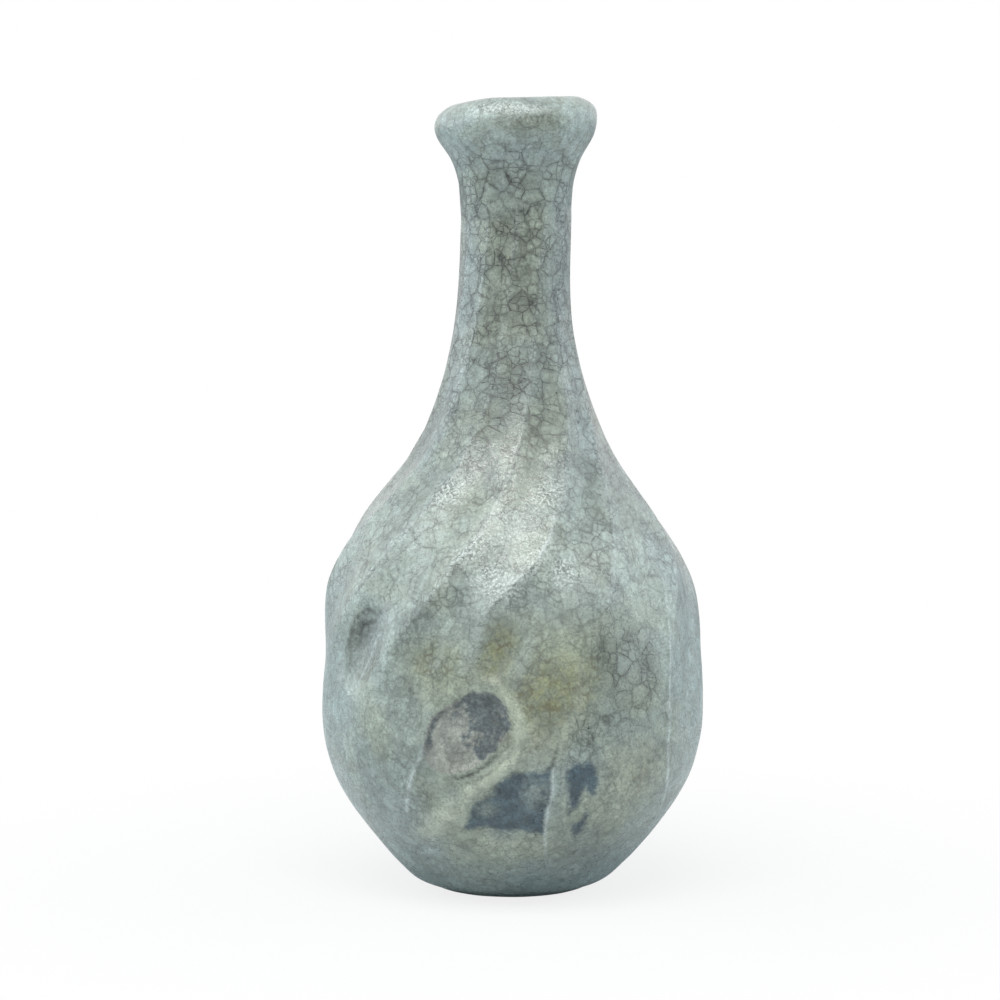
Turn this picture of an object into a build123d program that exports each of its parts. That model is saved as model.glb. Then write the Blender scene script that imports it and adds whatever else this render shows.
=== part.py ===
from build123d import *
from math import cos, degrees, floor, pi, radians, sin
import os

# A hand-thrown stoneware bottle vase, fluted with a twist and dented by thumb, under a crackled glaze.
# Millimetres. It stands on z = 0 on its foot ring, its axis is Z and its front faces -Y.

# Outside of the glazed vase, from the foot up
FOOT_DIAMETER = 25.0
FOOT_WIDTH = 4.0
FOOT_HEIGHT = 1.2
FOOT_BEVEL = 0.4
BASE_ANGLE = 16.0
GIRTH_DIAMETER = 75.6
GIRTH_HEIGHT = 40.0
SHOULDER_RISE = 88.0
NECK_DIAMETER = 21.4
LIP_RISE = 21.5
LIP_DIAMETER = 31.5
LIP_CROWN = 5.5
LIP_ROLL = 3.5

# Clay and glaze thicknesses
BODY_WALL = 4.6
NECK_WALL = 3.4
FLOOR = 5.8
GLAZE = 1.0
GLAZE_FOOT_TAPER = 1.2
LINER = 0.5

# Inside of the finished vase
FLOOR_FLAT_DIAMETER = 24.0
BORE_BELOW_NARROWEST = 8.0
MOUTH_DEPTH = 13.0
MOUTH_LAND = 2.0
MOUTH_ANGLE = 50.0

# Joints between the thrown sections, measured from the girth and from the narrowest part of the neck
BODY_SEAM_ABOVE_GIRTH = 20.0
NECK_SEAM_BELOW_NARROWEST = 26.0
LIP_SEAM_ABOVE_NARROWEST = 13.0
TONGUE_WIDTH = 1.2
TONGUE_DEPTH = 0.8
TONGUE_ROOT = 0.4
TONGUE_PLACE_IN_WALL = 0.6

# Twisted flutes
FLUTE_COUNT = 12
FLUTE_DEPTH = 1.3
FLUTE_PHASE = 20.0
FLUTE_TWIST = 70.0
TWIST_STARTS_ABOVE_GIRTH = 10.0
FLUTE_FADE_BELOW_GIRTH = 30.0
FLUTE_FULL_ABOVE_GIRTH = 15.0
FLUTE_LIP_FADE = 10.0

# Oval thumb hollows, each as its angle round from the front, its height above the girth, the lean of
# its length from level, its half length, its half width and its depth
HOLLOW_SETS = 2
HOLLOW_BED_RADIUS = 42.0
HOLLOWS = (
    (-14.0, -3.6, 41.0, 11.8, 8.4, 1.9),
    (-50.0, 10.2, 60.0, 10.2, 5.8, 1.2),
    (-4.0, 12.0, 75.0, 7.5, 4.0, 0.9),
)

# Shape of the curves between the sizes above, each as (share of the rise, share of the swell)
UNDER_CURVE = ((0.028, 0.135), (0.077, 0.242), (0.278, 0.56), (0.562, 0.881), (0.871, 0.997))
SHOULDER_CURVE = (
    (0.091, 0.985), (0.239, 0.92), (0.375, 0.695), (0.523, 0.33), (0.659, 0.15), (0.796, 0.04),
)
FLARE_CURVE = ((0.46, 0.065), (0.595, 0.198), (0.735, 0.436))
CROWN_CURVE = ((0.78, 0.648),)

# How finely the lofted skins are sampled
POINTS_PER_FLUTE = 6
UNDER_SECTIONS = 16
SHOULDER_SECTIONS = 32
FLARE_SECTIONS = 9
CROWN_SECTIONS = 5
LOFT_TURN_LIMIT = 87.0
RUN_OUT_SECTIONS = 3
FOOT_RUN_OUT = 2.0
CREST_RUN_OUT = 0.6

# Sizes worked out from the ones above
foot_radius = FOOT_DIAMETER / 2
glaze_edge_radius = foot_radius + GLAZE / sin(radians(BASE_ANGLE))
girth_radius = GIRTH_DIAMETER / 2
neck_radius = NECK_DIAMETER / 2
lip_radius = LIP_DIAMETER / 2
crest_radius = lip_radius - LIP_ROLL
mouth_radius = crest_radius - MOUTH_LAND
neck_height = GIRTH_HEIGHT + SHOULDER_RISE
lip_height = neck_height + LIP_RISE
crest_height = lip_height + LIP_CROWN
floor_height = FOOT_HEIGHT + FLOOR
bore_bottom = neck_height - BORE_BELOW_NARROWEST
bore_top = crest_height - MOUTH_DEPTH
body_seam = GIRTH_HEIGHT + BODY_SEAM_ABOVE_GIRTH
neck_seam = neck_height - NECK_SEAM_BELOW_NARROWEST
lip_seam = neck_height + LIP_SEAM_ABOVE_NARROWEST
cut_margin = 3.0


def curve_between(start, end, shares, start_tangent, end_tangent):
    """One smooth stretch of the outline, in (radius, height), through points given as shares of its spans."""
    inner = [
        (start[0] + swell * (end[0] - start[0]), start[1] + rise * (end[1] - start[1]))
        for rise, swell in shares
    ]
    points = [(r, 0, z) for r, z in [start, *inner, end]]
    tangents = [Vector(r, 0, z).normalized() for r, z in (start_tangent, end_tangent)]
    return Edge.make_spline(points, tangents=tangents, scale=False)


UP = (0, 1)
CREST_TANGENT = (-1, 0.2)
base_tangent = (cos(radians(BASE_ANGLE)), sin(radians(BASE_ANGLE)))
shoulder_from_girth = [(rise, 1 - swell) for rise, swell in SHOULDER_CURVE]
under_edge = curve_between(
    (glaze_edge_radius, FOOT_HEIGHT), (girth_radius, GIRTH_HEIGHT), UNDER_CURVE, base_tangent, UP
)
shoulder_edge = curve_between(
    (girth_radius, GIRTH_HEIGHT), (neck_radius, neck_height), shoulder_from_girth, UP, UP
)
flare_edge = curve_between((neck_radius, neck_height), (lip_radius, lip_height), FLARE_CURVE, UP, UP)
crown_from_lip = [(rise, 1 - swell) for rise, swell in CROWN_CURVE]
crown_edge = curve_between(
    (lip_radius, lip_height), (crest_radius, crest_height), crown_from_lip, UP, CREST_TANGENT
)
outline = (
    (under_edge, UNDER_SECTIONS),
    (shoulder_edge, SHOULDER_SECTIONS),
    (flare_edge, FLARE_SECTIONS),
    (crown_edge, CROWN_SECTIONS),
)


def inset_point(edge, share, depth):
    """The point at a share of the edge's length, moved in from the surface by depth, as (radius, height)."""
    place = edge.position_at(share)
    along = edge.tangent_at(share)
    return (place.X - depth * along.Z, place.Z + depth * along.X)


def place_at(height):
    """The stretch of the outline that passes a height, and the share of its length there."""
    edge = next(e for e, _ in outline if e.position_at(1).Z >= height)
    low, high = 0.0, 1.0
    for _ in range(40):
        middle = (low + high) / 2
        if edge.position_at(middle).Z < height:
            low = middle
        else:
            high = middle
    return edge, low


def ease(low, high, value):
    """0 below low, 1 above high, with a smooth change between."""
    share = min(1.0, max(0.0, (value - low) / (high - low)))
    return share * share * (3 - 2 * share)


def ridge_turn(height):
    """Share of the flutes' twist that is done at a height, zero where the twist starts above the girth."""
    twist_start = GIRTH_HEIGHT + TWIST_STARTS_ABOVE_GIRTH
    share = (height - twist_start) / (neck_height - twist_start)
    if share < 0:
        return 1.5 * share / (1 - 6 * share)
    share = min(share, 1.0)
    return share * (1.5 - 0.5 * share)


def ridge_angle(height):
    """Angle of the first ridge at a height, in degrees from the front towards +X."""
    return FLUTE_PHASE + FLUTE_TWIST * ridge_turn(height)


def start_angle(height):
    """Angle of a section's first point. It follows the first ridge, but turns by less than the loft's limit."""
    whole_turn = FLUTE_TWIST * (ridge_turn(crest_height) - ridge_turn(FOOT_HEIGHT))
    follow = min(1.0, LOFT_TURN_LIMIT / abs(whole_turn))
    return FLUTE_PHASE + FLUTE_TWIST * ridge_turn(height) * follow


def flute_fade(radius, height):
    """Greatest depth of the flutes at a height. They die out under the girth and below the lip."""
    low_fade = ease(GIRTH_HEIGHT - FLUTE_FADE_BELOW_GIRTH, GIRTH_HEIGHT + FLUTE_FULL_ABOVE_GIRTH, height)
    high_fade = 1 - ease(lip_seam - FLUTE_LIP_FADE, lip_seam, height)
    return FLUTE_DEPTH * radius / girth_radius * low_fade * high_fade


def flute_depth(angle, radius, height):
    """Depth of the scalloped flute at one place, zero on the ridges."""
    across = (angle - ridge_angle(height)) * FLUTE_COUNT / 360
    return flute_fade(radius, height) * sin(radians(180 * (across - floor(across))))


def section_wire(radius, height):
    """Closed level section of the fluted vase, with its points on the ridges and between them."""
    count = FLUTE_COUNT * POINTS_PER_FLUTE
    points = []
    for k in range(count):
        angle = start_angle(height) + k * 360 / count
        reach = radius - flute_depth(angle, radius, height)
        points.append((reach * sin(radians(angle)), -reach * cos(radians(angle)), height))
    steps = [k / count for k in range(count + 1)]
    return Wire([Edge.make_spline(points, periodic=True, parameters=steps)])


def run_out_point(edge, share, depth, distance):
    """Inset point at one end of an edge, carried on straight along the edge's direction by a distance."""
    radius, height = inset_point(edge, share, depth)
    along = edge.tangent_at(share)
    return (radius + distance * along.X, height + distance * along.Z)


def lofted_skin(depth):
    """Solid bounded by the fluted surface moved in by depth. It runs out past the foot and the crest."""
    steps = range(1, RUN_OUT_SECTIONS + 1)
    rings = [run_out_point(under_edge, 0, depth, -k * FOOT_RUN_OUT) for k in reversed(steps)]
    rings.append(inset_point(under_edge, 0, depth))
    for edge, count in outline:
        rings += [inset_point(edge, k / count, depth) for k in range(1, count + 1)]
    rings += [run_out_point(crown_edge, 1, depth, k * CREST_RUN_OUT) for k in steps]
    return Solid.make_loft([section_wire(r, z) for r, z in rings])


def turned(points_and_curves):
    """Solid turned round the axis from edges that form one closed outline."""
    return revolve(make_face(Wire(points_and_curves)), Axis.Z)


def line(start, end):
    return Edge.make_line((start[0], 0, start[1]), (end[0], 0, end[1]))


def turned_corners(corners):
    """Ring turned round the axis from a straight-sided section, its corners given as (radius, height)."""
    return turned([line(a, b) for a, b in zip(corners, corners[1:] + corners[:1])])


def inside_edges(coat, mouth, floor_level):
    """The inner wall under a coat of glaze, from the axis up: floor, belly, straight bore and flared mouth."""
    belly_depth = GLAZE + BODY_WALL + coat
    neck_depth = GLAZE + NECK_WALL + coat
    inner_bore = neck_radius - neck_depth
    floor_flat = FLOOR_FLAT_DIAMETER / 2
    wall_points = [
        (floor_flat, floor_level),
        *[inset_point(under_edge, share, belly_depth) for share in (0.45, 0.7)],
        *[inset_point(shoulder_edge, share, belly_depth) for share in (0.0, 0.2, 0.35)],
        *[inset_point(shoulder_edge, share, neck_depth) for share in (0.5, 0.65, 0.8)],
        (inner_bore, bore_bottom),
    ]
    belly = Edge.make_spline(
        [(r, 0, z) for r, z in wall_points], tangents=[(1, 0, 0), (0, 0, 1)], scale=False
    )
    out = (cos(radians(MOUTH_ANGLE)), 0, sin(radians(MOUTH_ANGLE)))
    flare = Edge.make_spline(
        [(inner_bore, 0, bore_top), (mouth, 0, crest_height)], tangents=[(0, 0, 1), out]
    )
    return [
        line((0, floor_level), (floor_flat, floor_level)),
        belly,
        line((inner_bore, bore_bottom), (inner_bore, bore_top)),
        flare,
    ]


def seam_ring(radius, height, direction):
    """V-shaped ring that keys one section into the next, pointing up (1) or down (-1) from the seam."""
    half = TONGUE_WIDTH / 2
    root = height - direction * TONGUE_ROOT
    tip = height + direction * TONGUE_DEPTH
    return turned_corners([
        (radius - half, root),
        (radius - half, height),
        (radius, tip),
        (radius + half, height),
        (radius + half, root),
    ])


def seam_radius(height, wall):
    """Radius of the joint's key, in the thickness of the wall."""
    edge, share = place_at(height)
    return edge.position_at(share).X - GLAZE - wall * TONGUE_PLACE_IN_WALL


def hollow_cutter(angle, height, lean, half_length, half_width, depth, inset):
    """Bent rod that presses one oval hollow into the surface moved in by inset.

    The rod is rounder than the vase across the oval and flatter than it along the oval, so it sinks in to
    the depth at the middle and comes out of the surface at the oval's sides and tips.
    """
    rod = 0.5 / max(depth / half_width ** 2 - 0.5 / girth_radius, 0.001)
    bend = 0.5 / max(0.5 / HOLLOW_BED_RADIUS - depth / half_length ** 2, 0.0005)
    half_turn = degrees(1.3 * half_length / bend)
    bend_axis = Axis((0, 0, -depth - bend), (0, 1, 0))
    rod_end = Plane((0, 0, rod - depth), x_dir=(0, 1, 0), z_dir=(1, 0, 0))
    disc = make_face(Wire([Edge.make_circle(rod, rod_end)])).rotate(bend_axis, -half_turn)
    cutter = revolve(disc, bend_axis, revolution_arc=2 * half_turn)

    edge, share = place_at(height)
    bed = 2 / pi * flute_fade(edge.position_at(share).X, height)
    radius, bed_height = inset_point(edge, share, inset + bed)
    along = edge.tangent_at(share)
    turn = radians(angle)
    outward = Vector(sin(turn), -cos(turn), 0)
    sideways = Vector(cos(turn), sin(turn), 0)
    normal = outward * along.Z - Vector(0, 0, along.X)
    upward = outward * along.X + Vector(0, 0, along.Z)
    length_way = sideways * cos(radians(lean)) + upward * sin(radians(lean))
    centre = outward * radius + Vector(0, 0, bed_height)
    return Plane(centre, x_dir=length_way, z_dir=normal).location * cutter


def hollow_cutters(inset):
    """All the cutters, with the front's hollows repeated evenly round the vase."""
    return [
        hollow_cutter(
            angle + repeat * 360 / HOLLOW_SETS,
            GIRTH_HEIGHT + above_girth,
            lean,
            half_length,
            half_width,
            depth,
            inset,
        )
        for repeat in range(HOLLOW_SETS)
        for angle, above_girth, lean, half_length, half_width, depth in HOLLOWS
    ]


def level(height):
    return Plane((0, 0, height))


# The glazed skin, the clay skin under it, and the space inside the clay
glaze_skin = split(lofted_skin(0), level(crest_height), keep=Keep.BOTTOM) - hollow_cutters(0)
clay_skin = split(lofted_skin(GLAZE), level(crest_height - GLAZE), keep=Keep.BOTTOM) - hollow_cutters(GLAZE)
clay_mouth = mouth_radius + LINER
clay_wall = inside_edges(0, clay_mouth, floor_height)
above_crest = crest_height + cut_margin
clay_space = turned([
    *clay_wall,
    line((clay_mouth, crest_height), (clay_mouth, above_crest)),
    line((clay_mouth, above_crest), (0, above_crest)),
    line((0, above_crest), (0, floor_height)),
])
outer_glaze = split(glaze_skin, level(FOOT_HEIGHT), keep=Keep.TOP) - clay_skin - clay_space

# The outer glaze runs on down round the foot ring as far as its bevel
outer_glaze = outer_glaze + turned_corners([
    (foot_radius, FOOT_BEVEL),
    (glaze_edge_radius - GLAZE_FOOT_TAPER, FOOT_BEVEL),
    (glaze_edge_radius, FOOT_HEIGHT),
    (foot_radius, FOOT_HEIGHT),
])

# The liner glaze lies between the clay and the space that is used
inner_glaze = turned([
    *clay_wall,
    line((clay_mouth, crest_height), (mouth_radius, crest_height)),
    *inside_edges(LINER, mouth_radius, floor_height + LINER),
    line((0, floor_height + LINER), (0, floor_height)),
])

# The clay, cut at its seams into the sections that were thrown
clay = split(clay_skin - clay_space, level(FOOT_HEIGHT), keep=Keep.TOP)
lower_body = split(clay, level(body_seam), keep=Keep.BOTTOM)
above_body = split(clay, level(body_seam), keep=Keep.TOP)
shoulder = split(above_body, level(neck_seam), keep=Keep.BOTTOM)
above_shoulder = split(above_body, level(neck_seam), keep=Keep.TOP)
neck = split(above_shoulder, level(lip_seam), keep=Keep.BOTTOM)
lip = split(above_shoulder, level(lip_seam), keep=Keep.TOP)

# Keys: each upper section has a tongue that sits in a groove of the section below it
body_key = seam_ring(seam_radius(body_seam, BODY_WALL), body_seam, -1)
neck_key = seam_ring(seam_radius(neck_seam, NECK_WALL), neck_seam, -1)
lip_key = seam_ring(seam_radius(lip_seam, NECK_WALL), lip_seam, -1)
foot_key = seam_ring(foot_radius - FOOT_WIDTH / 2, FOOT_HEIGHT, 1)
lower_body = lower_body - body_key - foot_key
shoulder = shoulder + body_key - neck_key
neck = neck + neck_key - lip_key
lip = lip + lip_key

# The foot ring, with its wearing edges bevelled
foot_inner = foot_radius - FOOT_WIDTH
foot_ring = foot_key + turned_corners([
    (foot_inner, FOOT_HEIGHT),
    (foot_inner, FOOT_BEVEL),
    (foot_inner + FOOT_BEVEL, 0),
    (foot_radius - FOOT_BEVEL, 0),
    (foot_radius, FOOT_BEVEL),
    (foot_radius, FOOT_HEIGHT),
])

nodes = {
    "foot_ring": foot_ring,
    "lower_body": lower_body,
    "shoulder": shoulder,
    "neck": neck,
    "lip": lip,
    "outer_glaze": outer_glaze,
    "inner_glaze": inner_glaze,
}

os.makedirs("parts", exist_ok=True)
for name, shape in nodes.items():
    export_step(shape, f"parts/{name}.step")
    box = shape.bounding_box()
    print(name, len(shape.solids()), round(shape.volume), shape.is_valid, box.min, box.max)
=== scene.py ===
import math

import bpy
import numpy as np
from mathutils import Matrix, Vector, noise
from mathutils.bvhtree import BVHTree


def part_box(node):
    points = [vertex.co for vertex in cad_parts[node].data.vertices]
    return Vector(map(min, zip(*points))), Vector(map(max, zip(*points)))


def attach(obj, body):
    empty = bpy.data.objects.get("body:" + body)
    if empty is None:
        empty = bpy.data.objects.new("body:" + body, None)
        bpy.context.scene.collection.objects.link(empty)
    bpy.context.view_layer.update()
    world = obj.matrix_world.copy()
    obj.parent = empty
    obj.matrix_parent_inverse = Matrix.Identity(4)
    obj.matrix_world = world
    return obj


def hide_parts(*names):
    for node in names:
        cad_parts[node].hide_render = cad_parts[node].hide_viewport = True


# A hand-thrown bottle vase, fluted with a twist and dented by thumb, under a crackled grey-green glaze.
# Shapes are worked out in millimetres and turned into metres when a mesh is made.
# An angle is in degrees, round from the front (-Y) towards +X.

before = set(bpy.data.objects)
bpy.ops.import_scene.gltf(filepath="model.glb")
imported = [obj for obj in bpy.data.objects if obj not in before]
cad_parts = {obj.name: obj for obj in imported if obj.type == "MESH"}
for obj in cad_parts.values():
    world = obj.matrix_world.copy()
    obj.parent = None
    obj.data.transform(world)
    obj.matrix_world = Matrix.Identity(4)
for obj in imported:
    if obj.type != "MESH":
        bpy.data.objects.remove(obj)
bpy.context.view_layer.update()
MM = 0.001

# Flutes: the ridges lie as they do on the solids, with small wanders of their own, alike on front and back
FLUTES = 12
FLUTE_ANGLE = 360 / FLUTES
RIDGE_PHASE = 20.0
RIDGE_TWIST = 70.0
TWIST_FOOT = 50.0
TWIST_HEAD = 128.0
TWIST_START = 1.5
TWIST_SETTLE = 6.0
WANDER_EVEN = 6
FLUTE_DEPTH = 1.3
GIRTH_RADIUS = 37.8
FLUTE_FADE = (10.0, 55.0)
FLUTE_LIP_FADE = (131.0, 141.0)
FLUTE_STRENGTH = ((40, 0.45), (58, 1.0), (84, 1.0), (104, 0.4))
RIDGE_ROUNDNESS = 1.5
RIDGE_WANDER = {
    0: (
        (5, 14), (12, 6), (17, 4.5), (30, 3), (38, 5), (47, 3),
        (56, 0), (63, -4), (74, -7), (86, -3), (100, 0),
    ),
    1: ((5, 34), (14, 29), (22, 18), (35, 12), (46, 7), (57, 0)),
    2: ((5, 22), (14, 19), (22, 12), (35, 7), (46, 4), (57, 0)),
    3: ((5, 10), (14, 9), (22, 6), (35, 3), (57, 0)),
    5: ((45, 0), (56, -9), (63, -9), (69, -3), (82, 0), (97, 4), (110, 0)),
}

# Each ridge carries a soft bead of glaze above the girth
BEAD_HEIGHT = 0.1
BEAD_WIDTH = 0.6
BEAD_FADE = (52.0, 64.0)
BEAD_FULL_RADIUS = 24.0
BEAD_LEAST = 0.6
BEAD_MASK_WIDTH = 1.7

# Oval thumb hollows: angle, height, lean of the length from level, half length, half width, depth, squareness
HOLLOWS = {
    "eye": (-14.0, 36.4, 41.0, 9.8, 6.4, 1.5, 3.0),
    "side": (-51.5, 50.2, 60.0, 9.6, 5.2, 1.0, 2.0),
    "olive": (-4.0, 52.0, 75.0, 6.8, 3.3, 0.75, 2.0),
    "tail": (-29.0, 23.0, 58.0, 7.5, 3.6, 0.4, 2.0),
    "dent": (-25.0, 50.5, 70.0, 4.5, 2.4, 0.3, 2.0),
}
HOLLOW_SETS = (0.0, 180.0)

# Glaze in the eye: how its edge fades, where it pools along the length, and the dark brow on its upper side
EYE_EDGE = (1.1, 0.86)
EYE_POOL = (-4.0, 5.0)
EYE_POOL_SLANT = 0.35
EYE_BROW = 0.45
EYE_BROW_EDGE = (0.65, 0.95)
EYE_BROW_SPAN = (0.0, 3.0)

# A slow noise that makes drawn lines and edges waver
WAVER = 0.7
WAVER_SIZE = 7.0
WAVER_OFFSETS = (70, 140)

# Lines and bands on the body, some of them painted highlights and shadow lines, each as its mask, its rise
# and its stops: angle, height, half width, strength
STROKES = {
    # The eye's rim is pale glaze, and where its lower side faces the light the cream is a painted highlight
    "eye rim": ("cream", 0.7, (
        (-13, 46.8, 1.1, 0.1), (-5, 45.9, 1.2, 0.4), (0.2, 41.4, 1.3, 0.8), (1.7, 36, 1.5, 1.0),
        (-1, 31, 1.5, 1.0), (-7.4, 27.3, 1.6, 1.0), (-14.6, 24.2, 1.6, 1.0), (-21.5, 20.6, 1.8, 1.0),
        (-32, 16, 2.2, 0.6),
    )),
    # The eye's edge is a painted shadow line under the hollow's lower step
    "eye edge": ("dark", -0.12, (
        (-2, 33.8, 0.35, 0.35), (-7.3, 30.9, 0.4, 0.9), (-12.1, 28.6, 0.4, 1.0), (-16.8, 27.5, 0.4, 1.0),
        (-19, 27.9, 0.35, 0.4),
    )),
    "second edge": ("dark", -0.1, (
        (0.2, 36.5, 0.3, 0.2), (-0.8, 33, 0.32, 0.55), (-5, 30, 0.32, 0.55), (-10.6, 27.3, 0.32, 0.5),
        (-14.4, 26.3, 0.3, 0.1),
    )),
    "eye brow": ("dark", -0.08, (
        (-27, 32.8, 0.35, 0.5), (-24.4, 36.4, 0.4, 0.6), (-20.8, 39.8, 0.4, 0.6), (-14.8, 43.8, 0.4, 0.5),
    )),
    "eye tail": ("pale", 0.3, (
        (-25.6, 35.6, 0.3, 0.1), (-27.4, 32.6, 0.38, 0.6), (-32, 26.6, 0.42, 0.9), (-35.3, 21.7, 0.42, 0.85),
        (-37.4, 17.7, 0.4, 0.2),
    )),
    "front line": ("pale", 0.32, (
        (12.4, 30, 0.32, 0.6), (11.5, 25.7, 0.38, 0.9), (11.1, 21.4, 0.38, 0.9), (11.9, 15.9, 0.35, 0.75),
        (13.4, 11.2, 0.32, 0.4), (18, 6.5, 0.32, 0.45),
    )),
    "front line shade": ("dark", -0.1, (
        (9, 28.8, 0.35, 0.3), (12, 30.3, 0.4, 0.9), (13.2, 32.9, 0.4, 0.8), (13.6, 35.6, 0.35, 0.3),
    )),
    "front band": ("cream", 0.22, (
        (13.6, 32, 0.9, 0.5), (14.6, 35.2, 1.2, 0.6), (16, 38, 1.3, 0.6), (18.9, 42.8, 1.3, 0.5),
        (19.8, 47.5, 1.3, 0.3),
    )),
    "right line": ("pale", 0.4, (
        (57, 60, 0.4, 0.3), (54, 49.7, 0.4, 0.9), (52, 39.5, 0.45, 1.0), (52, 30.7, 0.5, 0.8),
        (55, 24.7, 0.5, 0.6), (63, 15.8, 0.5, 0.4),
    )),
    "side streak": ("pale", 0.3, ((-55, 43, 0.4, 0.6), (-50.6, 47.5, 0.5, 1.0), (-45, 53.3, 0.45, 0.9))),
    "side rim": ("frost_and_highlight", 0.22, (
        (-42, 60, 1.2, 0.3), (-38.4, 54.9, 1.3, 0.7), (-38.4, 49.9, 1.3, 0.8), (-41, 45.6, 1.1, 0.4),
        (-43.5, 43, 1.0, 0.0),
    )),
    "side arc": ("dark", -0.14, (
        (-59.5, 45.5, 0.45, 0.3), (-59.6, 50.5, 0.45, 0.6), (-56, 55.5, 0.5, 0.8), (-51, 57.9, 0.5, 0.8),
        (-45.7, 57, 0.5, 0.5),
    )),
    "side inner arc": ("dark", -0.1, ((-56, 50, 0.4, 0.5), (-53, 54.6, 0.5, 1.0), (-47.5, 55.6, 0.5, 0.7))),
    "olive left": ("frost_and_highlight", 0.3, (
        (-14.2, 48.4, 1.2, 0.5), (-12.3, 51.7, 1.3, 0.9), (-9.4, 55.4, 1.2, 0.9), (-5.2, 58.6, 1.1, 0.5),
    )),
    "olive right": ("frost_and_highlight", 0.25, (
        (0.2, 45.4, 1.2, 0.3), (2.8, 49.3, 1.2, 0.6), (5.3, 53, 1.2, 0.6), (7, 56.4, 1.1, 0.2),
    )),
    # The two crests are painted highlights along ridge crests
    "left crest": ("pale", 0.14, ((-20, 66.9, 0.35, 0.6), (-15.8, 69.2, 0.4, 1.0), (-10.6, 73, 0.4, 0.7))),
    "front crest": ("pale", 0.14, (
        (7.5, 66, 0.4, 0.5), (12, 70.7, 0.45, 1.0), (16.1, 74.7, 0.45, 1.0), (19.4, 76.8, 0.4, 0.5),
    )),
}

# How far the vase leans to the right at each height, and the tilt, low left side and right corner of its lip
LEAN = (
    (0, -0.1), (45, 0.15), (58, -0.2), (68, -0.5), (78, -0.3), (90, 0.2), (112, 0.25),
    (122, 0.55), (132, 0.85), (143, 0.75), (150, 0.6), (155, 0.55),
)
LIP_TILT = 1.3
LIP_TILT_SPAN = (140.0, 150.0)
LIP_DROOP = 1.35
LIP_DROOP_SPAN = (3.5, 15.0)
LIP_DROOP_HEIGHT = (148.5, 154.0)
LIP_RIM = (11.5, 15.0)
LIP_CORNER = 0.5
LIP_CORNER_HEIGHT = 152.5
LIP_CORNER_SPAN = 2.2

# Cobalt blotches, as outlines in angle and height
COBALT_BLOTCHES = (
    (
        (-16.5, 16.6), (-13, 22), (-6.2, 24.6), (-3.6, 27.4), (1, 28.8), (8.8, 29), (12.2, 29.8),
        (11.2, 22), (11.7, 16), (4, 17), (-3.8, 17), (-8.4, 18),
    ),
    (
        (16.2, 28.8), (18.8, 30.6), (24.4, 30.2), (26.8, 27), (26.4, 23.8), (24.6, 23.6), (22.8, 25.2),
        (21.6, 24.6), (21, 22), (18.4, 20), (16.6, 23.6),
    ),
    ((20.4, 17.7), (22.9, 18.6), (24.4, 20.9), (25.9, 19.5), (25.8, 16.4), (22.9, 15)),
    ((140, 22), (146, 28), (158, 30), (166, 27), (160, 21), (150, 18)),
    ((-142, 30), (-136, 35), (-131, 31), (-135, 25)),
)
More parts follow.
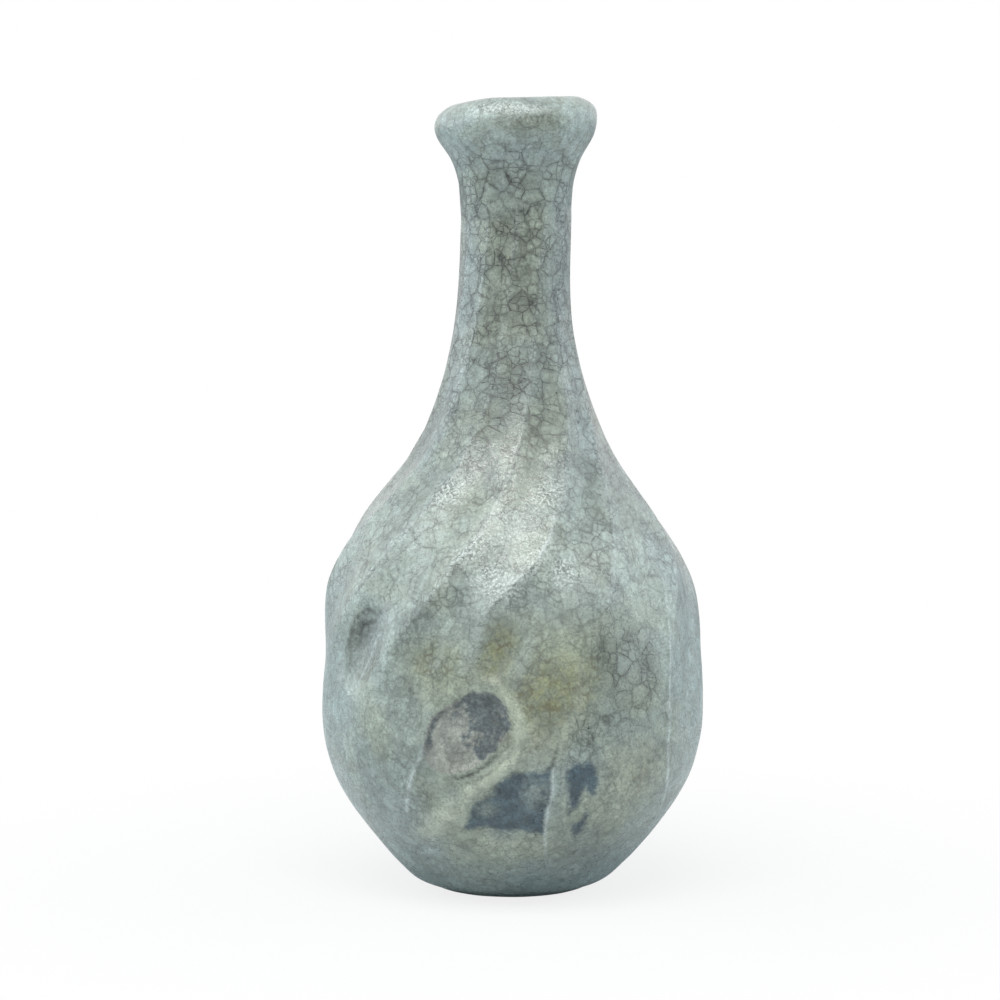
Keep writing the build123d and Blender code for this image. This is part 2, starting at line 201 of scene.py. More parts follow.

# Soft patches of tone, some of them painted light and shade: angle, height, half width, half height, lean,
# strength
TONES = {
    "olive": (
        (12, 150.6, 5.5, 2.2, 0, 0.45), (12, 44, 11, 8, 20, 1.0), (-4, 52, 3.4, 6.4, -15, 1.0),
        (-24, 49, 8, 6, 0, 0.45),
        (170, 44, 14, 9, 10, 0.9), (-150, 50, 8, 8, 0, 0.5), (100, 40, 9, 10, 0, 0.4),
    ),
    "sand": (
        (40, 27, 9, 8, 10, 1.0), (6, 34, 5, 4, 0, 0.8), (-24, 18.5, 6, 4, 30, 0.5), (2, 13, 12, 4, 0, 0.5),
        (205, 26, 11, 8, 0, 0.8), (-95, 30, 8, 8, 0, 0.4),
    ),
    "craze": (
        (37, 48, 8.5, 12, 10, 1.0), (22, 37, 6, 8, 0, 0.7), (-38, 70, 12, 10, -45, 0.55),
        (13, 150.4, 6.5, 2.4, 0, 0.6), (-26, 55, 9, 8, 0, 0.5),
        (125, 46, 10, 12, 0, 0.9), (-125, 44, 10, 12, 0, 0.8), (-75, 58, 9, 12, -40, 0.5),
    ),
    "smoke": (
        (-21.4, 112.5, 1.6, 4, 0, 0.9), (-27, 59.5, 4, 1.4, 40, 0.8), (-23.8, 47, 3, 3.4, 0, 0.7),
        (-31.6, 44.3, 2.4, 1.8, 0, 0.6), (26.6, 50.8, 2.4, 2.2, 0, 0.9), (21.8, 34.5, 1.4, 1.8, 0, 0.9),
        (28, 38.6, 2, 2, 0, 0.8), (-31, 57, 3.5, 2.5, 0, 0.6), (45, 46, 3, 6, 0, 0.5),
        (12, 151, 5.5, 1.5, 0, 1.0), (32, 149.8, 3, 1.6, 0, 0.6), (55, 116, 2.5, 14, 0, 0.6),
        (-5, 98, 3, 6, -20, 0.45), (5, 126, 2, 10, 0, 0.4),
        # The patches at -54, -47 and -55 degrees darken the side hollow round its streak: painted shade
        (-27.5, 22.5, 2.2, 2.6, 0, 0.6), (-54, 53.5, 3.4, 3.2, 0, 0.8), (-47, 47.8, 1.6, 4.2, -38, 1.0),
        (-55, 47, 1.6, 3.6, -38, 0.7), (160, 112, 2, 5, 0, 0.8), (150, 48, 3, 3, 0, 0.8),
        (205, 50, 3, 2.4, 0, 0.8), (120, 58, 4, 2, -40, 0.6),
        (-110, 56, 3.5, 2, 40, 0.6), (95, 36, 2, 3, 0, 0.6), (-150, 36, 2.4, 2.4, 0, 0.7),
    ),
    # Painted highlight where the key light falls on the shoulders and the lip's top, partly pale thin glaze;
    # the same patches make the glaze more pitted
    "frost_and_highlight": (
        (-6, 68, 11, 10, -40, 0.6), (18, 70, 8, 11, -35, 0.7), (-35, 68, 12, 9, -45, 0.5),
        (-14, 153.2, 9, 2.2, 0, 1.0), (-30, 80, 3, 3, -40, 0.8), (18, 81, 3, 3, -40, 0.8),
        (-5, 64.7, 6, 3.5, -20, 1.0), (18.4, 66, 4, 4, -45, 1.0),
        (45, 68, 12, 13, -35, 0.7), (120, 68, 16, 12, -40, 0.8), (-130, 68, 16, 12, -40, 0.8),
        (180, 68, 14, 12, -40, 0.8), (-80, 66, 14, 12, -40, 0.7),
    ),
    # Painted glints: specks of the key light's highlight on the shoulders and the lip's top
    "painted_glints": (
        (-14, 153.6, 8, 1.2, 0, 0.8), (-30, 80, 3, 4, -40, 1.0), (17, 80, 3, 4, -40, 1.0),
        (-5, 64.7, 5, 2.5, -20, 1.0), (18.4, 66.5, 2.6, 3.6, -45, 1.0), (-14, 70, 2, 4.5, -50, 0.8),
        (9, 69, 1.6, 5, -40, 0.8), (165, 78, 3, 4, -40, 0.9), (-165, 66, 4, 3, -30, 0.9),
        (95, 70, 3, 5, -40, 0.8), (-100, 70, 3, 5, -40, 0.8),
    ),
    # Painted bluish reflection of the surroundings at the sides, on the shoulder and low down
    "painted_cool_reflection": (
        (-80, 40, 17, 40, 0, 0.9), (76, 45, 14, 40, 0, 0.9), (-42, 72, 12, 10, -45, 0.6),
        (-48, 18, 12, 10, 0, 0.6), (60, 110, 5, 24, 0, 0.9), (-65, 112, 4, 26, 0, 0.6),
        (200, 70, 16, 14, -40, 0.6),
    ),
    # Darker patches: the one low on the right and the one in the side hollow are painted shade; the others
    # only make the glaze darker
    "dim": (
        (30, 12, 10, 8, 0, 1.0), (37, 48, 9, 12, 10, 1.0), (-53, 50, 5, 8, -30, 1.0),
        (52, 116, 5, 26, 0, 1.0), (0, 92, 12, 7, 0, 0.8), (-20, 88, 7, 6, 0, 0.7),
        (200, 14, 9, 6, 0, 0.7), (130, 47, 9, 11, 0, 0.4),
    ),
    "haze": ((7.2, 24.6, 2.8, 3.2, 0, 1.0), (-8, 21.6, 2.0, 1.6, 0, 0.7), (155, 25, 3, 2, 0, 0.9)),
}

# Grid of the outer coat: flutes that face the front have more columns
FRONT_FLUTES = (9, 10, 11, 0, 1)
FRONT_COLUMNS = 60
OTHER_COLUMNS = 40
COLUMN_GATHER = 0.25
FINE_ROW = 0.4
COARSE_ROW = 1.0
FINE_BELOW = (60.0, 80.0)
SHELL_ROW_STEP = 12
COAT_THICKNESS = 0.35
THROAT_END = 139.0


def ease(low, high, x):
    """Goes smoothly from 0 at low to 1 at high."""
    share = np.clip((np.asarray(x, float) - low) / (high - low), 0, 1)
    return share * share * (3 - 2 * share)


def through(points, x):
    """A given curve: the height at x of the line through the points."""
    places, values = zip(*points)
    return np.interp(x, places, values)


def smoothed(values, reach):
    """The list evened out over a reach of samples, with its two ends kept."""
    span = int(3 * reach)
    weights = np.exp(-0.5 * (np.arange(-span, span + 1) / reach) ** 2)
    weights /= weights.sum()
    before = 2 * values[0] - values[span:0:-1]
    after = 2 * values[-1] - values[-2:-span - 2:-1]
    return np.convolve(np.concatenate([before, values, after]), weights, mode="valid")


def ray_tree(node):
    """The faces of one solid, ready to be met by rays."""
    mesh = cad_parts[node].data
    return BVHTree.FromPolygons([v.co for v in mesh.vertices], [tuple(p.vertices) for p in mesh.polygons])


def outward(angle):
    turn = math.radians(angle)
    return Vector((math.sin(turn), -math.cos(turn), 0))


# Rays for the outline are cast over two whole flutes that hold no hollow
PLAIN_ANGLES = range(50, 110, 2)
FAR = 0.08


def radius_outside(tree, height):
    """The mean radius at a height of the solid's outside."""
    hits = []
    for angle in PLAIN_ANGLES:
        way = outward(angle)
        hit = tree.ray_cast(way * FAR + Vector((0, 0, height * MM)), -way)[0]
        hits.append(math.hypot(hit.x, hit.y) / MM)
    return sum(hits) / len(hits)


def radius_inside(tree, height):
    """The radius at a height of the hollow in the middle of the solid."""
    hit = tree.ray_cast(Vector((0, 0, height * MM)), outward(90))[0]
    return math.hypot(hit.x, hit.y) / MM


def flute_size(height, radius):
    """How deep the flutes are at a height."""
    fade = ease(*FLUTE_FADE, height) * (1 - ease(*FLUTE_LIP_FADE, height))
    return FLUTE_DEPTH * radius / GIRTH_RADIUS * fade


def spaced(points, spacing):
    """The line of points divided again, with the spacing that a function gives for each point."""
    steps = np.hypot(*np.diff(points, axis=0).T)
    run = np.concatenate([[0], np.cumsum(steps)])
    rate = 1 / spacing(points)
    count = np.concatenate([[0], np.cumsum(steps * (rate[1:] + rate[:-1]) / 2)])
    rows = int(round(count[-1]))
    places = np.interp(np.linspace(0, count[-1], rows + 1), count, run)
    return np.stack([np.interp(places, run, points[:, axis]) for axis in (0, 1)], axis=1)


PROFILE_STEP = 0.2
PROFILE_EVEN = 2.5
EDGE_CLEAR = 0.1
EDGE_RISE = 0.4
EDGE_WIDTH = 1.9
EDGE_STEP = 0.4
EDGE_LOW = 0.05
OUTLINE_START = 0.15
CREST_CUT = 0.5
CREST_SWELL = 0.3


def coat_outline():
    """The outer coat's line from the foot over the lip down into the throat, as radius and height."""
    outer = ray_tree("outer_glaze")
    inner = ray_tree("inner_glaze")
    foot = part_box("foot_ring")[1][0] / MM + EDGE_CLEAR
    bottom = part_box("outer_glaze")[0][2] / MM
    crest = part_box("outer_glaze")[1][2] / MM
    low = bottom + EDGE_LOW
    edge = ((foot, bottom + EDGE_RISE), (foot + EDGE_STEP, low), (foot + EDGE_WIDTH, low))
    outside = []
    for height in np.arange(bottom + OUTLINE_START, crest - CREST_CUT, PROFILE_STEP):
        mean = radius_outside(outer, height)
        outside.append((mean + flute_size(height, mean) * 2 / math.pi, height))
    down = np.arange(crest - CREST_CUT, THROAT_END, -PROFILE_STEP)
    throat = [(radius_inside(inner, height), height) for height in down]
    top = ((outside[-1][0] + throat[0][0]) / 2, crest + CREST_SWELL)
    points = np.array([*edge, *outside, top, *throat])
    points = spaced(points, lambda line: np.full(len(line), PROFILE_STEP))
    return np.stack([smoothed(points[:, axis], PROFILE_EVEN) for axis in (0, 1)], axis=1)


def row_spacing(points):
    """Rows lie closer together on the belly, where the hollows are."""
    return FINE_ROW + (COARSE_ROW - FINE_ROW) * ease(*FINE_BELOW, points[:, 1])


def ridge_angles(height):
    """The angle of each ridge at each height. One ridge more than there are flutes closes the round."""
    share = (height - TWIST_FOOT) / (TWIST_HEAD - TWIST_FOOT)
    low = np.minimum(share, 0)
    high = np.clip(share, 0, 1)
    turn = TWIST_START * low / (1 - TWIST_SETTLE * low) + high * (TWIST_START - (TWIST_START - 1) * high)
    lines = []
    for index in range(FLUTES + 1):
        wander = RIDGE_WANDER.get(index % (FLUTES // 2))
        drift = smoothed(through(wander, height), WANDER_EVEN) if wander else 0
        lines.append(RIDGE_PHASE + FLUTE_ANGLE * index + RIDGE_TWIST * turn + drift)
    return np.stack(lines, axis=1)


def wrapped(angle):
    return (angle + 180) % 360 - 180


class Coat:
    """The grid of the outer coat, with its shape and the masks that its material reads."""

    def __init__(self):
        line = spaced(coat_outline(), row_spacing)
        steps = np.hypot(*np.diff(line, axis=0).T)
        run = np.concatenate([[0], np.cumsum(steps)])
        top = int(np.argmax(line[:, 1]))
        bottom = int(np.argmin(line[:top, 1]))
        self.climbing = (line[bottom:top, 1], line[bottom:top, 0], run[bottom:top])
        self.outside = (np.arange(len(line)) <= top)[:, None]
        along = np.gradient(line, axis=0)
        along /= np.hypot(*along.T)[:, None]
        self.normal = np.stack([along[:, 1], -along[:, 0]], axis=1)
        climb = np.maximum.accumulate(line[:, 1])
        ridges = ridge_angles(climb)
        angles, shares, flutes = [], [], []
        for flute in range(FLUTES):
            count = FRONT_COLUMNS if flute in FRONT_FLUTES else OTHER_COLUMNS
            even = np.arange(count) / count
            share = even - COLUMN_GATHER * np.sin(2 * np.pi * even) / (2 * np.pi)
            angles.append(ridges[:, [flute]] + (ridges[:, [flute + 1]] - ridges[:, [flute]]) * share)
            shares.append(share)
            flutes.append(np.full(count, flute))
        self.angle = np.concatenate(angles, axis=1)
        self.share = np.concatenate(shares)[None, :]
        self.span = np.diff(ridges, axis=1)[:, np.concatenate(flutes)]
        self.radius = line[:, :1]
        self.height = line[:, 1:]
        self.run = run[:, None]
        self.climb = climb[:, None]
        self.masks = {}
        self.waver = [self.cloud(WAVER_SIZE, offset) * WAVER for offset in WAVER_OFFSETS]

    def cloud(self, size, offset):
        """A smooth noise on the grid's points, about -1 to 1."""
        points = coat_points(self, 0.0, np.zeros((1, 1))).reshape(-1, 3) / size + offset
        return np.array([noise.noise(Vector(p)) for p in points]).reshape(self.angle.shape)

    def from_ridge(self):
        """Distance of each point from the nearest ridge, in millimetres along the surface."""
        share = np.minimum(self.share, 1 - self.share)
        return share * np.radians(self.span) * self.radius

    def spot(self, angle, height, middle):
        """Where an angle and a height lie on the unrolled outside, in millimetres from a middle angle."""
        radius = np.interp(height, self.climbing[0], self.climbing[1])
        return math.radians(angle - middle) * radius, np.interp(height, self.climbing[0], self.climbing[2])

    def unrolled(self, middle):
        """Every point on the unrolled outside: millimetres round from a middle angle, and up the surface."""
        east = np.radians(wrapped(self.angle - middle)) * self.radius
        return east + self.waver[0], self.run + self.waver[1]

    def local(self, angle, height, lean):
        """Millimetres along and across a leaning line through a point of the surface."""
        east, north = self.unrolled(angle)
        north = north - self.spot(angle, height, angle)[1]
        cos, sin = math.cos(math.radians(lean)), math.sin(math.radians(lean))
        return east * cos + north * sin, north * cos - east * sin

    def cover(self, mask, values):
        """Adds to a mask where the values are more than it has."""
        known = self.masks.get(mask, np.zeros_like(self.angle))
        self.masks[mask] = np.maximum(known, values * self.outside)


def shape_flutes(coat):
    """Scalloped flutes between the ridges, moved in towards the axis."""
    depth = flute_size(coat.climb, coat.radius) * through(FLUTE_STRENGTH, coat.climb)
    return np.where(coat.outside, -depth * np.sin(np.pi * coat.share) ** RIDGE_ROUNDNESS, 0)


def shape_ridges(coat):
    """Beads along the ridge crests."""
    away = coat.from_ridge()
    fade = ease(*BEAD_FADE, coat.climb) * (1 - ease(*FLUTE_LIP_FADE, coat.climb)) * coat.outside
    small = np.clip(coat.radius / BEAD_FULL_RADIUS, BEAD_LEAST, 1)
    coat.cover("bead", np.exp(-(away / (BEAD_MASK_WIDTH * BEAD_WIDTH * small)) ** 2) * fade)
    return BEAD_HEIGHT * small * np.exp(-(away / (BEAD_WIDTH * small)) ** 2) * fade


def shape_hollows(coat):
    """Thumb hollows, and the masks of the glaze that pools in them."""
    relief = np.zeros_like(coat.angle)
    for turn in HOLLOW_SETS:
        for name, (angle, height, lean, long, wide, depth, square) in HOLLOWS.items():
            along, across = coat.local(angle + turn, height, lean)
            edge = np.hypot(along / long, across / wide)
            relief -= depth * np.clip(1 - edge ** square, 0, 1) * coat.outside
            if name == "eye":
                within = ease(*EYE_EDGE, edge)
                brow = EYE_BROW * ease(*EYE_BROW_EDGE, edge) * ease(*EYE_BROW_SPAN, across)
                coat.cover("taupe", within)
                pooled = ease(*EYE_POOL, along - EYE_POOL_SLANT * across)
                coat.cover("pool", within * np.maximum(pooled, brow))
    return relief


def to_segment(east, north, start, end):
    """How far along a straight piece each point lies, from 0 to 1, and its distance from the piece."""
    (x0, y0), (x1, y1) = start, end
    dx, dy = x1 - x0, y1 - y0
    share = np.clip(((east - x0) * dx + (north - y0) * dy) / (dx * dx + dy * dy), 0, 1)
    return share, np.hypot(east - x0 - share * dx, north - y0 - share * dy)


def shape_strokes(coat):
    """The drawn lines and soft bands, as relief and as masks."""
    relief = np.zeros_like(coat.angle)
    for turn in HOLLOW_SETS:
        for mask, rise, stops in STROKES.values():
            middle = stops[len(stops) // 2][0] + turn
            east, north = coat.unrolled(middle)
            line = [
                (*coat.spot(angle + turn, height, middle), wide, much)
                for angle, height, wide, much in stops
            ]
            shown = np.zeros_like(coat.angle)
            for (*start, wide0, much0), (*end, wide1, much1) in zip(line, line[1:]):
                share, away = to_segment(east, north, start, end)
                wide = wide0 + (wide1 - wide0) * share
                shown = np.maximum(shown, (much0 + (much1 - much0) * share) * np.exp(-(away / wide) ** 2))
            coat.cover(mask, shown)
            relief += rise * shown * coat.outside
    return relief


SLOW_SWELL = 0.2
SLOW_SIZE = 13
QUICK_SWELL = 0.05
QUICK_SIZE = 4.5
QUICK_OFFSET = 40
CALM_RADIUS = 30
CALM_LEAST = 0.4


def shape_hand(coat):
    """The slow unevenness of a thing made by hand."""
    calm = np.clip(coat.radius / CALM_RADIUS, CALM_LEAST, 1)
    swell = SLOW_SWELL * coat.cloud(SLOW_SIZE, 0) + QUICK_SWELL * coat.cloud(QUICK_SIZE, QUICK_OFFSET)
    return swell * calm


def outline_distance(coat, outline):
    """How far each point lies inside (above 0) or outside (below 0) an outline in angle and height."""
    middle = sum(angle for angle, height in outline) / len(outline)
    east, north = coat.unrolled(middle)
    corners = [coat.spot(angle, height, middle) for angle, height in outline]
    nearest = np.full(east.shape, np.inf)
    within = np.zeros(east.shape, bool)
    for start, end in zip(corners, corners[1:] + corners[:1]):
        nearest = np.minimum(nearest, to_segment(east, north, start, end)[1])
        (x0, y0), (x1, y1) = start, end
        crosses = (y0 > north) != (y1 > north)
        if crosses.any():
            within ^= crosses & (east < x0 + (north - y0) / (y1 - y0) * (x1 - x0))
    return np.where(within, nearest, -nearest)


BLOTCH_SOFTNESS = 1.7
PATCH_FALL = 1.4
CRAZE_BODY = 0.3
CRAZE_SHOULDER = 0.3
CRAZE_SHOULDER_SPAN = (52.0, 66.0)
CRAZE_NECK = 0.4
CRAZE_NECK_SPAN = (84.0, 102.0)
CRAZE_LIP_LOSS = 0.75
CRAZE_LIP_SPAN = (140.0, 150.0)
BASE_SPAN = (3.0, 16.0)
COOL_LIP = 0.7
COOL_LIP_SPAN = (134.0, 146.0)
DIM_NECK = 0.75
DIM_NECK_SPAN = (68.0, 90.0)
DIM_NECK_END = (136.0, 146.0)


def tone_masks(coat):
    """Masks of the tones, of the painted light and shade, and of the cobalt blotches."""
    for name, patches in TONES.items():
        for angle, height, wide, tall, lean, strength in patches:
            along, across = coat.local(angle, height, lean)
            coat.cover(name, strength * np.exp(-((along / wide) ** 2 + (across / tall) ** 2) ** PATCH_FALL))
    crazed = CRAZE_BODY + CRAZE_SHOULDER * ease(*CRAZE_SHOULDER_SPAN, coat.climb)
    crazed = crazed + CRAZE_NECK * ease(*CRAZE_NECK_SPAN, coat.climb)
    coat.cover("craze", crazed * (1 - CRAZE_LIP_LOSS * ease(*CRAZE_LIP_SPAN, coat.climb)))
    for outline in COBALT_BLOTCHES:
        coat.cover("cobalt", np.clip(0.5 + 0.5 * outline_distance(coat, outline) / BLOTCH_SOFTNESS, 0, 1))
    # Painted shade: the coat gets darker and bluer towards the foot, where the floor's shadow falls.
    coat.cover("painted_foot_shade", 1 - ease(*BASE_SPAN, coat.climb))
    # Painted bluish reflection on the lip
    coat.cover("painted_cool_reflection", COOL_LIP * ease(*COOL_LIP_SPAN, coat.climb))
    coat.cover("dim", DIM_NECK * ease(*DIM_NECK_SPAN, coat.climb) * (1 - ease(*DIM_NECK_END, coat.climb)))


def coat_points(coat, from_axis, along_normal):
    """The grid's points, moved out from the axis by one distance and along the normal by another."""
    radius = coat.radius + from_axis + along_normal * coat.normal[:, :1]
    height = coat.height + along_normal * coat.normal[:, 1:]
    turn = np.radians(coat.angle)
    height = np.broadcast_to(height, turn.shape)
    return np.stack([radius * np.sin(turn), -radius * np.cos(turn), height], axis=2)


def lean_over(points, climb, outside):
    """The lean of the vase, and its lip's tilt, low left side and square right-hand corner."""
    east, south, height = np.moveaxis(points, -1, 0)
    reach = np.hypot(east, south)
    corner = LIP_CORNER * np.exp(-((height - LIP_CORNER_HEIGHT) / LIP_CORNER_SPAN) ** 2)
    wider = 1 + corner * np.clip(east / reach, 0, 1) * ease(*LIP_RIM, reach) * outside / reach
    tilt = math.tan(math.radians(LIP_TILT)) * east * ease(*LIP_TILT_SPAN, climb)
    droop = LIP_DROOP * ease(*LIP_DROOP_SPAN, -east) * ease(*LIP_DROOP_HEIGHT, height)
    return np.stack([east * wider + through(LEAN, height), south * wider, height + tilt - droop], axis=-1)


LIP_SEAT = (1.5, 6.0)


def build_lip():
    """The clay of the lip, which leans like the coat over it and sits on the neck as the solid does."""
    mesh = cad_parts["lip"].data
    points = np.array([v.co for v in mesh.vertices]) / MM
    height = points[:, 2]
    share = ease(*LIP_SEAT, height - height.min())[:, None]
    points += (lean_over(points, height, 1.0) - points) * share
    piece = mesh_piece("lip_clay", points, np.array([p.vertices for p in mesh.polygons]))
    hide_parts("lip")
    return piece


CLAY_NODES = ("lower_body", "shoulder", "neck")
CLAY_COVER = 0.25
CLAY_GUARD_TOP = 148.0
LINER_COVER = 0.12


def keep_off_clay(coat, points, lip):
    """Moves points that would lie in the clay back out of it, on the outside and in the throat."""
    vertices = []
    faces = []
    for mesh in [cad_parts[node].data for node in CLAY_NODES] + [lip.data]:
        faces += [[len(vertices) + i for i in p.vertices] for p in mesh.polygons]
        vertices += [v.co.copy() for v in mesh.vertices]
    clay = BVHTree.FromPolygons(vertices, faces)
    for row, outside in zip(points, coat.outside[:, 0]):
        for point in row:
            if point[2] > CLAY_GUARD_TOP:
                continue
            reach = math.hypot(point[0], point[1])
            way = Vector((point[0] / reach, point[1] / reach, 0))
            level = Vector((0, 0, point[2] * MM))
            hit = clay.ray_cast(level + way * FAR, -way)[0] if outside else clay.ray_cast(level, way)[0]
            if hit is None:
                continue
            wall = math.hypot(hit.x, hit.y) / MM
            clear = max(reach, wall + CLAY_COVER) if outside else min(reach, wall - LINER_COVER)
            point[:2] *= clear / reach
    return points


def ring_faces(rows, columns, closed):
    """Four-sided faces of a grid that closes round its columns, and round its rows too when closed."""
    last = rows if closed else rows - 1
    row = np.arange(last)[:, None]
    column = np.arange(columns)[None, :]
    after = (row + 1) % rows
    beside = (column + 1) % columns
    corners = (
        row * columns + column, row * columns + beside,
        after * columns + beside, after * columns + column,
    )
    return np.stack([np.broadcast_to(c, (last, columns)) for c in corners], axis=2).reshape(-1, 4)


def add_object(name, data):
    """A new object in the scene."""
    thing = bpy.data.objects.new(name, data)
    bpy.context.scene.collection.objects.link(thing)
    return thing


def mesh_piece(name, points, faces, masks=None):
    """A smooth mesh object from points in millimetres, with one number on each point for each mask."""
    mesh = bpy.data.meshes.new(name)
    mesh.from_pydata((points.reshape(-1, 3) * MM).tolist(), [], faces.tolist())
    for mask, values in (masks or {}).items():
        numbers = values.ravel().astype(np.float32)
        mesh.attributes.new(mask, "FLOAT", "POINT").data.foreach_set("value", numbers)
    mesh.shade_smooth()
    piece = add_object(name, mesh)
    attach(piece, "root")
    return piece


def build_coat(lip):
    """The outer glaze as a thin closed shell over the clay."""
    coat = Coat()
    flutes = shape_flutes(coat)
    relief = shape_ridges(coat) + shape_hollows(coat) + shape_strokes(coat) + shape_hand(coat)
    tone_masks(coat)
    outer = lean_over(coat_points(coat, flutes, relief), coat.climb, coat.outside)
    outer = keep_off_clay(coat, outer, lip)
    under = lean_over(coat_points(coat, flutes, relief - COAT_THICKNESS), coat.climb, coat.outside)
    back = list(range(len(outer) - 1, 0, -SHELL_ROW_STEP)) + [0]
    points = np.concatenate([outer, under[back]])
    masks = {name: np.concatenate([mask, mask[back]]) for name, mask in coat.masks.items()}
    faces = ring_faces(len(points), points.shape[1], closed=True)
    piece = mesh_piece("glaze_coat", points, faces, masks)
    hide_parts("outer_glaze")
    return piece


# Liner glaze inside the vase
LINER_COLUMNS = 144
LINER_CENTRE = 40.0
LINER_LOWEST = -89.5
LINER_TURN = 1.5
LINER_TOP = 141.0
LINER_STEP = 0.9
LINER_THICKNESS = 0.25
RING_RISE = 4.2
RING_DEPTH = 0.16
RING_MOST = 0.1
RING_START = 4.0
RING_FULL_SPAN = 10.0


def build_liner():
    """The inner glaze, with the finger rings that throwing left in the wall."""
    tree = ray_tree("inner_glaze")
    line = []
    for angle in np.arange(LINER_LOWEST, 0, LINER_TURN):
        way = Vector((math.cos(math.radians(angle)), 0, math.sin(math.radians(angle))))
        hit = tree.ray_cast(Vector((0, 0, LINER_CENTRE * MM)), way)[0]
        line.append((math.hypot(hit.x, hit.y) / MM, hit.z / MM))
    line += [(radius_inside(tree, h), h) for h in np.arange(LINER_CENTRE, LINER_TOP, LINER_STEP)]
    line = spaced(np.array(line), lambda points: np.full(len(points), LINER_STEP))
    along = np.gradient(line, axis=0)
    along /= np.hypot(*along.T)[:, None]
    inward = np.stack([-along[:, 1], along[:, 0]], axis=1)
    angle = np.arange(LINER_COLUMNS) / LINER_COLUMNS * 2 * np.pi
    spiral = 2 * np.pi * line[:, 1:] / RING_RISE + angle
    room = np.clip((line[:, :1] - RING_START) / RING_FULL_SPAN, 0, 1)
    rings = np.minimum(RING_DEPTH * room * np.sin(spiral), RING_MOST)
    skins = []
    for depth in (0.0, -LINER_THICKNESS):
        radius = line[:, :1] + (depth + rings) * inward[:, :1]
        height = line[:, 1:] + (depth + rings) * inward[:, 1:]
        skins.append(np.stack([radius * np.sin(angle), -radius * np.cos(angle), height], axis=2))
    points = np.concatenate([skins[0], skins[1][::-1]])
    faces = ring_faces(len(points), LINER_COLUMNS, closed=True)[:, ::-1]
    piece = mesh_piece("liner_coat", points, faces)
    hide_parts("inner_glaze")
    return piece


class Nodes:
    """Short names for the shader nodes of one material. Sizes are in millimetres."""

    def __init__(self, name):
        self.material = bpy.data.materials.new(name)
        self.material.use_nodes = True
        self.tree = self.material.node_tree
        self.shader = self.tree.nodes["Principled BSDF"]
        self.place = self.add("ShaderNodeTexCoord").outputs["Object"]

    def add(self, kind, **settings):
        node = self.tree.nodes.new(kind)
        for key, value in settings.items():
            setattr(node, key, value)
        return node

    def feed(self, socket, value):
        if isinstance(value, bpy.types.NodeSocket):
            self.tree.links.new(value, socket)
        else:
            socket.default_value = value

    def math(self, operation, *values):
        node = self.add("ShaderNodeMath", operation=operation)
        for socket, value in zip(node.inputs, values):
            self.feed(socket, value)
        return node.outputs[0]

    def times(self, *values):
        result = values[0]
        for value in values[1:]:
            result = self.math("MULTIPLY", result, value)
        return result

    def most(self, *values):
        result = values[0]
        for value in values[1:]:
            result = self.math("MAXIMUM", result, value)
        return result

    def ramp(self, value, low, high, start=0.0, end=1.0):
        node = self.add("ShaderNodeMapRange", interpolation_type="SMOOTHSTEP")
        for socket, number in zip(node.inputs, (value, low, high, start, end)):
            self.feed(socket, number)
        return node.outputs[0]

    def mix(self, share, a, b, blend="MIX"):
        node = self.add("ShaderNodeMix", data_type="RGBA", blend_type=blend)
        for index, value in ((0, share), (6, a), (7, b)):
            self.feed(node.inputs[index], value)
        return node.outputs[2]

    def attribute(self, name):
        return self.add("ShaderNodeAttribute", attribute_name=name).outputs["Fac"]

    def noise(self, size, detail=2.0, roughness=0.5, place=None):
        node = self.add("ShaderNodeTexNoise")
        self.feed(node.inputs["Vector"], self.place if place is None else place)
        node.inputs["Scale"].default_value = 1000 / size
        node.inputs["Detail"].default_value = detail
        node.inputs["Roughness"].default_value = roughness
        return node

    def cloud(self, size, low, high, start=0.0, end=1.0, detail=2.0):
        """A noise of this size, stretched from its low and high shares to a start and an end."""
        return self.ramp(self.noise(size, detail, 0.6).outputs[0], low, high, start, end)

    def shifted(self, size, amount, place=None):
        """The coordinates, pushed about by a noise of this size by up to this amount."""
        cloud = self.noise(size, place=place).outputs[1]
        node = self.add("ShaderNodeVectorMath", operation="MULTIPLY_ADD")
        self.feed(node.inputs[0], cloud)
        node.inputs[1].default_value = (2 * amount * MM,) * 3
        self.feed(node.inputs[2], self.place if place is None else place)
        return node.outputs[0]

    def cells(self, size, place, feature="F1", randomness=1.0):
        node = self.add("ShaderNodeTexVoronoi", feature=feature)
        self.feed(node.inputs["Vector"], place)
        node.inputs["Scale"].default_value = 1000 / size
        node.inputs["Randomness"].default_value = randomness
        return node

    def border(self, size, place, randomness=1.0):
        """Millimetres from the border between cells of this size."""
        away = self.cells(size, place, "DISTANCE_TO_EDGE", randomness).outputs["Distance"]
        return self.math("MULTIPLY", away, size)

    def random(self, cells):
        """Three numbers that are the same all over a cell."""
        node = self.add("ShaderNodeSeparateColor")
        self.feed(node.inputs[0], cells.outputs["Color"])
        return node.outputs

    def dots(self, size, radius, kept):
        """Round dots, one in each of a share of the cells of this size: 1 in the dot."""
        cells = self.cells(size, self.place)
        dot = self.ramp(cells.outputs["Distance"], 0.6 * radius / size, radius / size, 1.0, 0.0)
        return self.times(dot, self.math("LESS_THAN", self.random(cells)[2], kept))

    def bump(self, height, strength, distance, before=None, sunk=False):
        node = self.add("ShaderNodeBump", invert=sunk)
        self.feed(node.inputs["Strength"], strength)
        node.inputs["Distance"].default_value = distance * MM
        self.feed(node.inputs["Height"], height)
        if before is not None:
            self.feed(node.inputs["Normal"], before)
        return node.outputs[0]


def colour(red, green, blue):
    """A colour written in screen values from 0 to 255, as the shader takes it."""
    def straight(value):
        share = value / 255
        return share / 12.92 if share <= 0.04045 else ((share + 0.055) / 1.055) ** 2.4
    return (straight(red), straight(green), straight(blue), 1.0)


